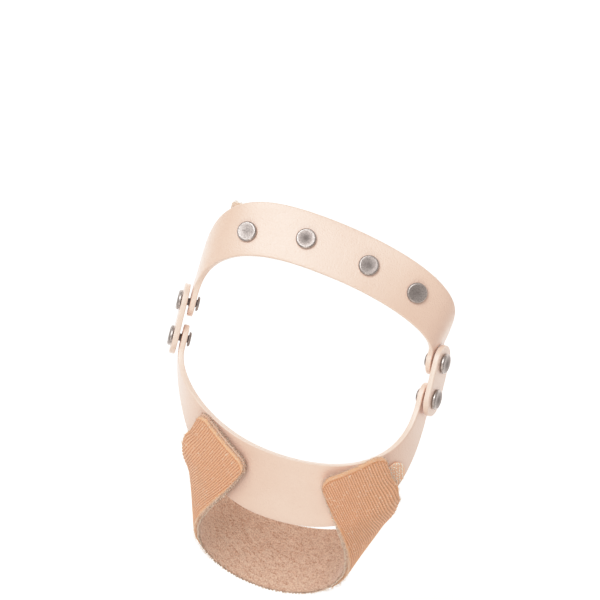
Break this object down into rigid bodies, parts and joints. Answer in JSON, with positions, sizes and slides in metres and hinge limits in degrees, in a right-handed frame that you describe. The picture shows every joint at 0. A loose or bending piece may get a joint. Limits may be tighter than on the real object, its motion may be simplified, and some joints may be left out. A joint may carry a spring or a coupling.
{
  "type": "ulnar deviation splint",
  "caption": "Hinged hand splint: plastic bands over the fingers and the back of the hand, joined by riveted side links, with soft finger loops and a padded wrist strap.",
  "frame": {"origin": "middle of the hand hollow, halfway between the four pivots", "axes": "+X towards the little finger, +Y towards the fingertips, +Z out of the back of the hand"},
  "size_m": [0.097, 0.132, 0.054],
  "materials": {
    "plastic": "satin skin-tone sheet with a fine pebble and pale cut edges",
    "metal": "satin rivet cap with a bright chamfer",
    "hook": "coarse hook tape",
    "knit": "fine ribbed tan knit bonded to a looped pile",
    "pile": "soft looped pile"
  },
  "bodies": {
    "palm_frame": {"palm_band": "plastic", "radial_hook_patch": "hook", "ulnar_hook_patch": "hook", "wrist_strap": "knit"},
    "radial_side": {"radial_link": "plastic", "radial_pivot_distal": "metal", "radial_pivot_proximal": "metal"},
    "ulnar_side": {"ulnar_link": "plastic", "ulnar_pivot_distal": "metal", "ulnar_pivot_proximal": "metal"},
    "finger_frame": {"finger_band": "plastic", "index_rivet": "metal", "middle_rivet": "metal", "ring_rivet": "metal", "little_rivet": "metal", "index_loop": "pile", "middle_loop": "pile", "ring_loop": "pile", "little_loop": "pile"}
  },
  "joints": [
    {"name": "radial_link_hinge", "type": "hinge", "parent": "palm_frame", "child": "radial_side", "pos_m": [-0.04265, -0.00625, 0], "axis": [-1, 0, 0], "range_deg": [-10, 45]},
    {"name": "ulnar_link_hinge", "type": "hinge", "parent": "palm_frame", "child": "ulnar_side", "pos_m": [0.04265, -0.00625, 0], "axis": [-1, 0, 0], "range_deg": [-13, 56]},
    {"name": "finger_band_hinge", "type": "hinge", "parent": "radial_side", "child": "finger_frame", "pos_m": [-0.04265, 0.00625, 0], "axis": [-1, 0, 0], "range_deg": [-10, 45]}
  ],
  "couplings": [
    {"joint": "ulnar_link_hinge", "follows": "radial_link_hinge", "ratio": 1}
  ]
}
